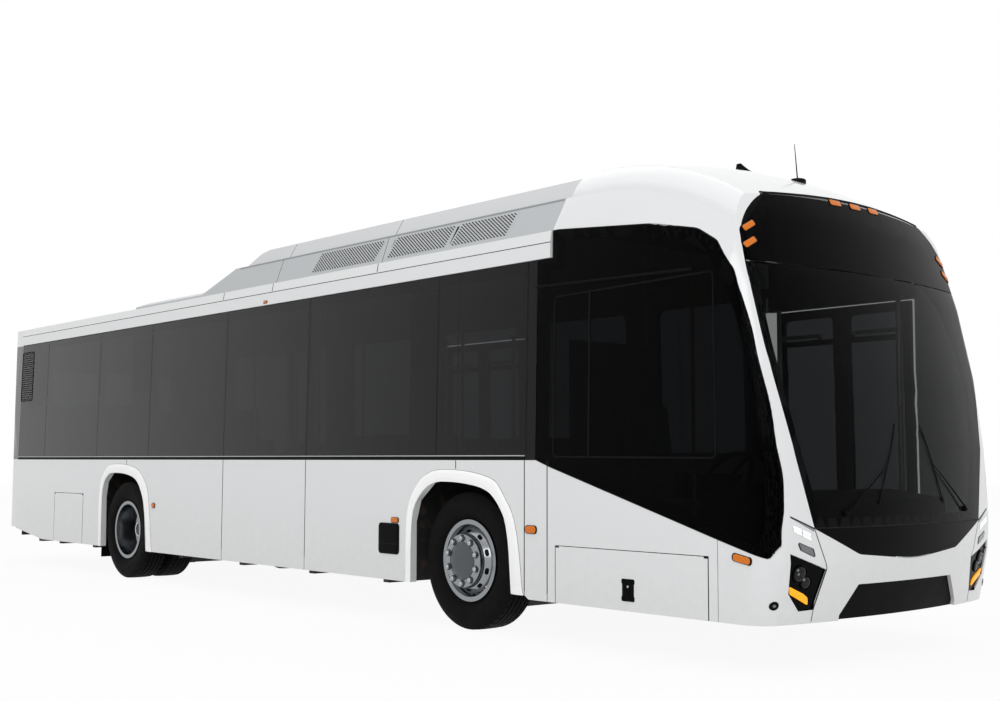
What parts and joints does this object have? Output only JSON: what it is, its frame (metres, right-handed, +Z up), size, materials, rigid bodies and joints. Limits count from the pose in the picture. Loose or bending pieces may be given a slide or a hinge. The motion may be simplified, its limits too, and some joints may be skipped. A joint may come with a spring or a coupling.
{
  "type": "city bus",
  "caption": "Electric low-floor city bus with a sloping black-glazed front, raised roof fairing, twin rear tyres, steered front wheels and opening doors.",
  "frame": {"origin": "on the ground, below the middle of the bus", "axes": "+X towards the front, +Y to the left, +Z up"},
  "size_m": [11.9998, 2.608, 3.489],
  "materials": {
    "body_white": "gloss white paint",
    "fairing_grey": "satin light grey paint",
    "tinted_glass": "dark tinted, gloss",
    "screen_glass": "tinted, gloss",
    "black_gloss": "gloss black",
    "black_trim": "satin black",
    "chassis_steel": "satin black paint",
    "floor_panel": "dark grey floor covering",
    "battery_case": "plain sheet",
    "cast_steel": "painted casting",
    "motor_case": "cast",
    "black_rubber": "matt",
    "tyre": "matt",
    "polished_rim": "polished",
    "seat_shell": "moulded shell with pads",
    "seat_fabric": "woven",
    "cabin_plastic": "grained",
    "wheel_rubber_black": "soft grained",
    "handrail_steel": "brushed",
    "amber_lens": "amber lens",
    "red_lens": "red lens",
    "door_frame": "black coated frame"
  },
  "bodies": {
    "body": {"arch_flares": "body_white", "bumper_grille": "black_trim", "charge_cover": "black_trim", "chassis_rails": "chassis_steel", "corner_panels": "body_white", "cross_members": "chassis_steel", "dashboard": "cabin_plastic", "drive_motor": "motor_case", "driver_partition": "cabin_plastic", "driver_seat": "seat_fabric", "floor_deck": "floor_panel", "front_axle_beam": "cast_steel", "front_bumper": "body_white", "front_cowl": "body_white", "front_mask_panel": "black_gloss", "handrails": "handrail_steel", "headlamp_pods": "black_gloss", "marker_lamps": "amber_lens", "mud_flaps": "black_rubber", "passenger_seats": "seat_shell", "rear_axle_housing": "cast_steel", "rear_wall": "body_white", "rear_window": "tinted_glass", "roof_aerials": "black_trim", "roof_batteries": "battery_case", "roof_fairing": "fairing_grey", "roof_panel": "body_white", "side_glass_left": "tinted_glass", "side_glass_right": "tinted_glass", "tail_lamps": "red_lens", "wall_left": "body_white", "wall_right": "body_white", "wheel_boxes": "chassis_steel", "windscreen": "screen_glass"},
    "knuckle_left": {"knuckle_left": "cast_steel"},
    "front_wheel_left": {"tyre_front_left": "tyre", "rim_front_left": "polished_rim"},
    "rear_wheels_left": {"tyres_rear_left": "tyre", "rims_rear_left": "polished_rim"},
    "knuckle_right": {"knuckle_right": "cast_steel"},
    "front_wheel_right": {"tyre_front_right": "tyre", "rim_front_right": "polished_rim"},
    "rear_wheels_right": {"tyres_rear_right": "tyre", "rims_rear_right": "polished_rim"},
    "steering_wheel": {"steering_wheel": "wheel_rubber_black"},
    "front_door_rear_arm": {"front_door_rear_arm": "handrail_steel"},
    "front_door_rear": {"front_door_rear_leaf": "door_frame", "front_door_rear_glass": "tinted_glass"},
    "front_door_front_arm": {"front_door_front_arm": "handrail_steel"},
    "front_door_front": {"front_door_front_leaf": "door_frame", "front_door_front_glass": "tinted_glass"},
    "middle_door_rear_arm": {"middle_door_rear_arm": "handrail_steel"},
    "middle_door_rear": {"middle_door_rear_leaf": "door_frame", "middle_door_rear_glass": "tinted_glass"},
    "middle_door_front_arm": {"middle_door_front_arm": "handrail_steel"},
    "middle_door_front": {"middle_door_front_leaf": "door_frame", "middle_door_front_glass": "tinted_glass"},
    "side_lid_front": {"side_lid_front": "body_white"},
    "side_lid_rear": {"side_lid_rear": "body_white"},
    "rear_lid": {"rear_lid": "body_white"}
  },
  "joints": [
    {"name": "steer_left", "type": "hinge", "parent": "body", "child": "knuckle_left", "pos_m": [3.005, 0.9, 0.513], "axis": [0, 0, 1], "range_deg": [-42, 42]},
    {"name": "front_wheel_spin_left", "type": "hinge", "parent": "knuckle_left", "child": "front_wheel_left", "pos_m": [3.005, 1.08, 0.513], "axis": [0, 1, 0], "continuous": true},
    {"name": "rear_wheels_spin_left", "type": "hinge", "parent": "body", "child": "rear_wheels_left", "pos_m": [-2.673, 0.92, 0.513], "axis": [0, 1, 0], "continuous": true},
    {"name": "steer_right", "type": "hinge", "parent": "body", "child": "knuckle_right", "pos_m": [3.005, -0.9, 0.513], "axis": [0, 0, 1], "range_deg": [-42, 42]},
    {"name": "front_wheel_spin_right", "type": "hinge", "parent": "knuckle_right", "child": "front_wheel_right", "pos_m": [3.005, -1.08, 0.513], "axis": [0, 1, 0], "continuous": true},
    {"name": "rear_wheels_spin_right", "type": "hinge", "parent": "body", "child": "rear_wheels_right", "pos_m": [-2.673, -0.92, 0.513], "axis": [0, 1, 0], "continuous": true},
    {"name": "steering_wheel_turn", "type": "hinge", "parent": "body", "child": "steering_wheel", "pos_m": [5, -0.64, 1.12], "axis": [-0.866, 0, 0.5], "range_deg": [-800, 800]},
    {"name": "front_door_rear_swing", "type": "hinge", "parent": "body", "child": "front_door_rear_arm", "pos_m": [4.105, 1.17, 1.4], "axis": [0, 0, 1], "range_deg": [0, 105]},
    {"name": "front_door_rear_follow", "type": "hinge", "parent": "front_door_rear_arm", "child": "front_door_rear", "pos_m": [4.4935, 1.17, 1.4], "axis": [0, 0, 1], "range_deg": [-105, 0]},
    {"name": "front_door_front_swing", "type": "hinge", "parent": "body", "child": "front_door_front_arm", "pos_m": [5.195, 1.17, 1.4], "axis": [0, 0, -1], "range_deg": [0, 105]},
    {"name": "front_door_front_follow", "type": "hinge", "parent": "front_door_front_arm", "child": "front_door_front", "pos_m": [4.8065, 1.17, 1.4], "axis": [0, 0, -1], "range_deg": [-105, 0]},
    {"name": "middle_door_rear_swing", "type": "hinge", "parent": "body", "child": "middle_door_rear_arm", "pos_m": [-0.225, 1.17, 1.4], "axis": [0, 0, 1], "range_deg": [0, 105]},
    {"name": "middle_door_rear_follow", "type": "hinge", "parent": "middle_door_rear_arm", "child": "middle_door_rear", "pos_m": [0.1635, 1.17, 1.4], "axis": [0, 0, 1], "range_deg": [-105, 0]},
    {"name": "middle_door_front_swing", "type": "hinge", "parent": "body", "child": "middle_door_front_arm", "pos_m": [0.865, 1.17, 1.4], "axis": [0, 0, -1], "range_deg": [0, 105]},
    {"name": "middle_door_front_follow", "type": "hinge", "parent": "middle_door_front_arm", "child": "middle_door_front", "pos_m": [0.4765, 1.17, 1.4], "axis": [0, 0, -1], "range_deg": [-105, 0]},
    {"name": "side_lid_front_hinge", "type": "hinge", "parent": "body", "child": "side_lid_front", "pos_m": [4.7, -1.2858, 0.671], "axis": [-1, 0, 0], "range_deg": [0, 90]},
    {"name": "side_lid_rear_hinge", "type": "hinge", "parent": "body", "child": "side_lid_rear", "pos_m": [-4.08, -1.2858, 0.869], "axis": [-1, 0, 0], "range_deg": [0, 90]},
    {"name": "rear_lid_hinge", "type": "hinge", "parent": "body", "child": "rear_lid", "pos_m": [-5.991, 0, 1.412], "axis": [0, 1, 0], "range_deg": [0, 80]}
  ],
  "couplings": [
    {"joint": "steer_right", "follows": "steer_left", "ratio": 1},
    {"joint": "steering_wheel_turn", "follows": "steer_left", "ratio": 18},
    {"joint": "front_door_rear_follow", "follows": "front_door_rear_swing", "ratio": -1},
    {"joint": "front_door_front_follow", "follows": "front_door_front_swing", "ratio": -1},
    {"joint": "middle_door_rear_follow", "follows": "middle_door_rear_swing", "ratio": -1},
    {"joint": "middle_door_front_follow", "follows": "middle_door_front_swing", "ratio": -1}
  ]
}
